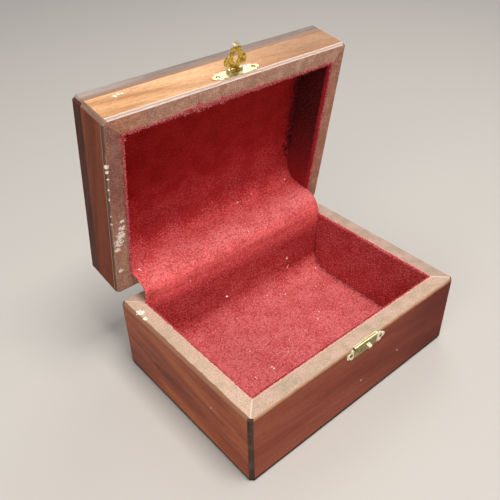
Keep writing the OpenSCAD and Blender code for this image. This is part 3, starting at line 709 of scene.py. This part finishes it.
sheet = lining_sheet()
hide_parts("base_floor_lining", "base_back_lining", "hinge_lining", "lid_back_lining",
            "lid_panel_lining")


def ragged(s, seed):
    """How far a cut edge strays, from about -1 to 1, at a distance s along it: long waves and short ones."""
    long_wave = noise.noise(Vector((s / (3.2 * MM), seed, 0.3)))
    short_wave = noise.noise(Vector((s / (0.9 * MM), seed, 7.1)))
    return (long_wave + short_wave) * 0.6


class WallLining:
    """One wall's velvet: flat on the wood, rounded over at the rim, with a cut edge that strays onto it."""

    def __init__(self, half, side, seed, fluffs=()):
        self.node, self.side, self.on_lid = f"{half}_{side}_lining", side, half == "lid"
        self.seed, self.fluffs = seed, fluffs
        self.upright = self.node == "base_front_lining"
        self.overhangs = self.node == "lid_front_lining"
        self.along_x = side in ("front", "back")
        # half its length, how far the wood's face is from the middle, and the heights of its two long edges
        self.reach = (ROOM_W if self.along_x else ROOM_D) - 0.2 * MM
        self.face = ROOM_D if self.along_x else ROOM_W
        self.sign = 1 if side in ("back", "right") else -1
        self.rim, self.out = (LID_RIM, -1) if self.on_lid else (BASE_RIM, 1)
        self.far = PANEL_Z + 0.3 * MM if self.on_lid else FLOOR_Z - 0.3 * MM

    def point(self, s, off, z):
        """A place s along the wall, off from the middle of the box and at a height z with the lid closed."""
        p = Vector((s, self.sign * off, z)) if self.along_x else Vector((self.sign * off, s, z))
        return OPENED @ p if self.on_lid else p

    def direction(self, outward, up):
        """A direction across the wall, outward from the middle of the box and up with the lid closed."""
        d = Vector((0, self.sign * outward, up)) if self.along_x else Vector((self.sign * outward, 0, up))
        return OPENED.to_3x3() @ d if self.on_lid else d

    def stray(self, s):
        """How far the cut edge lies out on the rim, in metres."""
        if self.upright:
            return 0.0
        fluff = sum(height * math.exp(-((s - at) / width) ** 2) for at, width, height in self.fluffs)
        reach = (0.45 if self.on_lid else 0.2) + (1.0 if self.on_lid else 0.5) * ragged(s, self.seed)
        return max(reach, -0.05) * MM + fluff * max(0.4 + 1.4 * ragged(s, self.seed + 9), 0.05)

    def section(self, s, depth):
        """The cloth's section at s: (how far off the wood, in its own thicknesses, how far up the wall)."""
        steps = 14
        flat = [(1.0, k / steps * (depth - 1.0 * MM)) for k in range(steps + 1)]
        if self.upright:
            # this one's cut edge stands up along its left half
            up = (0.3 + 0.15 * ragged(s, 4.0)) * MM * (1 - max(0.0, min(1.0, (s + 20 * MM) / (20 * MM))))
            return flat + [(0.95, depth - 0.3 * MM), (0.80, depth + 0.7 * up), (0.50, depth + up),
                           (0.20, depth + 0.6 * up), (0.02, depth - 0.2 * MM)]
        stray = self.stray(s)
        return flat + [(0.95, depth - 0.6 * MM), (0.75, depth - 0.2 * MM), (0.40, depth + 0.1 * MM),
                       (-0.5 * stray / CLOTH_T, depth + 0.22 * MM), (-stray / CLOTH_T, depth + 0.08 * MM)]

    def cloth(self, picks):
        """Makes the cloth and the loose fibres of its cut edge."""
        step = 0.7 * MM
        depth = abs(self.rim - self.far)
        rows, flat = [], []
        for i in range(round(2 * self.reach / step) + 1):
            s = min(-self.reach + i * step, self.reach)
            section = self.section(s, depth)
            row = []
            for t, h in section:
                pillow = noise.noise(Vector((s, h, self.seed)) / (15 * MM)) * 0.3 * MM if t == 1.0 else 0.0
                row.append(self.point(s, self.face - t * CLOTH_T - pillow, self.far + self.out * h))
            rows.append(row)
            flat.append([(s, h) for t, h in section])
        pile = OWN_VELVET.get(self.node, DEEP_VELVET if self.on_lid else SIDE_VELVET)
        piece = surface(self.node + "_velvet", rows, pile, flat, flip=(self.side == "left") != self.on_lid)
        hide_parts(self.node)
        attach(piece, "lid" if self.on_lid else "base")
        fibres = self.fibres(picks, 14 if self.on_lid else 7)
        if self.overhangs:
            fibres += self.hanging_fibres(picks, 9)
        loose = tufts(self.node.replace("lining", "frayed_edge"), fibres, picks,
                      self.point(0, 0, self.rim), self.direction(0, self.out))
        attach(loose, "lid" if self.on_lid else "base")

    def fibres(self, picks, per_mm):
        """(root, direction, length) of the loose fibres along the cut edge."""
        longest = 1.3 if self.on_lid else 0.9
        out = []
        for _ in range(round(2 * self.reach / MM * per_mm)):
            s = picks.uniform(-self.reach, self.reach)
            stray = self.stray(s)
            root = self.point(s, self.face + picks.uniform(-0.6, 0.9) * stray,
                              self.rim + self.out * 0.08 * MM)
            inward = -1.0 if stray > 1.0 * MM else -0.3
            lean = self.direction(picks.uniform(inward, 1.0), self.out * picks.uniform(0.05, 0.5))
            side = self.point(s + 1, 0, 0) - self.point(s, 0, 0)
            lean = lean + side * picks.uniform(-0.9, 0.9)
            out.append((root, lean, picks.uniform(0.3, longest) * MM + stray * 0.4))
        return out

    def hanging_fibres(self, picks, per_mm):
        """(root, direction, length) of the fibres of a pile that hangs over into the room."""
        out = []
        for _ in range(round(2 * self.reach / MM * per_mm)):
            s = picks.uniform(-self.reach, self.reach)
            root = self.point(s, self.face - picks.uniform(0.3, 0.95) * CLOTH_T,
                              self.rim - self.out * 0.25 * MM)
            lean = self.direction(picks.uniform(-1.0, -0.4), self.out * picks.uniform(-0.2, 0.3))
            side = self.point(s + 1, 0, 0) - self.point(s, 0, 0)
            lean = lean + side * picks.uniform(-0.6, 0.6)
            longest = 0.9 + 1.0 * max(ragged(s, 21.0), 0.0)
            out.append((root, lean, picks.uniform(0.3, longest) * MM))
        return out


def tufts(name, fibres, picks, rim, up):
    """Loose fibres as one mesh: each is a thin three-sided blade that curls a little and ends in a point.
    None stands higher off the rim than the closed lid leaves room for."""
    thickness = 0.13 * MM
    room = 0.42 * (LID_RIM - BASE_RIM)
    points, faces, shades = [], [], []
    for root, lean, length in fibres:
        lean = lean.normalized()
        side = lean.orthogonal().normalized()
        curl = Vector([picks.uniform(-1, 1) for _ in range(3)]) * 0.35
        first = len(points)
        for share, width in ((0.0, 1.0), (0.5, 0.8), (1.0, 0.0)):
            centre = root + (lean + curl * share) * length * share
            ring = 3 if width else 1
            for k in range(ring):
                turn = Matrix.Rotation(2 * math.pi * k / 3, 3, lean)
                tip = centre + turn @ side * thickness * width
                points.append(tip - up * max((tip - rim).dot(up) - room, 0.0))
        # two rings of three points, and the tip
        for k in range(3):
            following = (k + 1) % 3
            faces.append((first + k, first + following, first + 3 + following, first + 3 + k))
            faces.append((first + 3 + k, first + 3 + following, first + 6))
        shades += [(picks.random(), 0)] * (len(points) - first)
    return new_piece(name, points, faces, FRAYED, shades)


def specks(name, places, picks):
    """Specks of lint as one mesh, each a small uneven lump."""
    points, faces, shades = [], [], []
    for place, size in places:
        first = len(points)
        for direction in ((1, 0, 0), (0, 1, 0), (-1, 0, 0), (0, -1, 0), (0, 0, 1), (0, 0, -1)):
            points.append(place + Vector(direction) * size * picks.uniform(0.4, 1.0))
        for k in range(4):
            faces.append((first + k, first + (k + 1) % 4, first + 4))
            faces.append((first + (k + 1) % 4, first + k, first + 5))
        # the bigger, the paler
        shades += [(min(picks.random() + 1.2 * size / MM, 1.0), 0)] * (len(points) - first)
    return new_piece(name, points, faces, LINT, shades)


picks = random.Random(8)
# clumps of loose pile on a cut edge: (place along it, half width, how far they reach out), in metres
FLUFFS = {wall: [(at * MM, width * MM, reach * MM) for at, width, reach in clumps] for wall, clumps in {
    "lid_front": ((-31, 3, 2.0), (-25, 3, 3.2), (-19, 4, 2.4), (-11, 3, 3.0), (-5, 2, 2.2), (3, 4, 2.6),
                  (12, 3, 2.0)),
    "lid_left": ((-42, 3, 3.2), (-20, 12, 0.5), (15, 15, 0.4)),
    "lid_right": ((-41, 4, 1.0), (-20, 20, 0.4))}.items()}
LINED = [(half, side) for half, side in WALLS if side != "back"]
for number, (half, side) in enumerate(LINED):
    WallLining(half, side, 1.0 + number, FLUFFS.get(f"{half}_{side}", ())).cloth(picks)

# (place, size) of the lint: fine specks all over the floor, and larger bits
on_floor = [(Vector((picks.uniform(-0.9, 0.9) * ROOM_W, picks.uniform(-0.9, 0.8) * ROOM_D,
                     FLOOR_Z + 0.15 * MM)), picks.uniform(0.10, 0.24) * MM) for _ in range(110)]
on_floor += [(Vector((x * MM, y * MM, z * MM)), r * MM) for x, y, z, r in (
    (-21, -9.6, 5.5, 0.9), (-21.2, -8, 5.5, 0.8), (-33, -8.9, 5.5, 0.7), (-33, -7.7, 5.5, 0.7),
    (31.5, 6.7, 5.5, 0.6), (26, 2.2, 5.5, 0.6), (26.3, 3.4, 5.5, 0.5), (27, 32.7, 5.5, 0.7),
    (-6.5, -5.8, 5.5, 0.6), (47.5, 25.2, 5.5, 0.6), (-22.5, 9.2, 5.5, 0.5), (-10.5, 35.2, 5.8, 0.5),
    (13.5, 0.2, 5.5, 0.5), (1, 1.2, 5.5, 0.5), (16.5, 38.1, 7.2, 0.6), (59.5, 37.6, 7.1, 0.8),
    (-12, 42.8, 19.6, 0.9), (37.5, 42.8, 23.1, 0.7), (37.7, 42.8, 24.2, 0.5), (38.5, 42.8, 15.6, 0.7),
    (38.9, 42.8, 17, 0.5), (-36.5, 42.8, 45, 0.5))]
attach(specks("floor_lint", on_floor, picks), "base")
on_lid = [(Vector((x * MM, y * MM, z * MM)), r * MM) for x, y, z, r in (
    (18.5, 67.4, 61.8, 1.0), (58.5, 68.3, 62.4, 0.9), (30.5, 68.6, 62.6, 0.5), (-60.5, 54.4, 59, 0.8),
    (-60, 53.4, 58.6, 0.6), (9, 46.2, 55.7, 0.5))]
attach(specks("lid_lint", on_lid, picks), "lid")

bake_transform(sheet)


# ---------------------------------------------------------------- floor, lights and camera

def studio():
    """A pale paper floor, a dim even sky and three soft lamps."""
    reach = 3
    floor_mesh = bpy.data.meshes.new("floor")
    floor_mesh.from_pydata([(-reach, -reach, 0), (reach, -reach, 0), (reach, reach, 0), (-reach, reach, 0)],
                           [], [(0, 1, 2, 3)])
    floor = bpy.data.objects.new("floor", floor_mesh)
    bpy.context.scene.collection.objects.link(floor)
    floor_mesh.materials.append(finished(new_material("pale_paper_backdrop"), {
        "Base Color": linear("#bdbbb8"), "Roughness": 0.9}))

    world = bpy.data.worlds.new("studio")
    bpy.context.scene.world = world
    world.use_nodes = True
    sky = world.node_tree.nodes["Background"]
    sky.inputs["Color"].default_value = linear("#f2f4f7")
    sky.inputs["Strength"].default_value = 0.31

    for name, place, target, size, power in (
            ("overhead_softbox", (0.02, -0.27, 1.08), (0, 0.02, 0.08), 0.45, 12.0),
            ("back_softbox", (0.66, 0.54, 0.98), (0, 0.02, 0.08), 0.6, 3.0),
            ("left_fill", (-0.95, -0.40, 0.55), (0, 0, 0.06), 0.6, 4.5)):
        lamp = bpy.data.lights.new(name, "AREA")
        lamp.size = size
        lamp.energy = power
        lamp.color = linear("#fff7ee")[:3]
        light = bpy.data.objects.new(name, lamp)
        light.location = place
        light.rotation_mode = "QUATERNION"
        light.rotation_quaternion = (Vector(place) - Vector(target)).to_track_quat("Z", "Y")
        bpy.context.scene.collection.objects.link(light)


def camera():
    """A camera in front of the box, to its left and above it."""
    eye = Vector((-182.70, -186.38, 264.84)) * MM
    azimuth, elevation, roll = math.radians(41.569), math.radians(37.105), math.radians(-0.179)
    image_px, focal_px = 500, 622.0
    centre_px = (266.98, 256.71)
    ahead = Vector((math.sin(azimuth) * math.cos(elevation), math.cos(azimuth) * math.cos(elevation),
                    -math.sin(elevation)))
    level = Vector((math.cos(azimuth), -math.sin(azimuth), 0))
    up = level.cross(ahead)
    right = level * math.cos(roll) + up * math.sin(roll)
    up = up * math.cos(roll) - level * math.sin(roll)
    lens = bpy.data.cameras.new("camera")
    lens.sensor_width = 36
    lens.lens = focal_px / image_px * lens.sensor_width
    lens.shift_x = 0.5 - centre_px[0] / image_px
    lens.shift_y = centre_px[1] / image_px - 0.5
    lens.clip_start = 0.01
    eyepiece = bpy.data.objects.new("camera", lens)
    eyepiece.matrix_world = Matrix((
        (right.x, up.x, -ahead.x, eye.x), (right.y, up.y, -ahead.y, eye.y), (right.z, up.z, -ahead.z, eye.z),
        (0, 0, 0, 1)))
    bpy.context.scene.collection.objects.link(eyepiece)
    bpy.context.scene.camera = eyepiece


studio()
camera()
bpy.context.scene.view_settings.view_transform = "Standard"
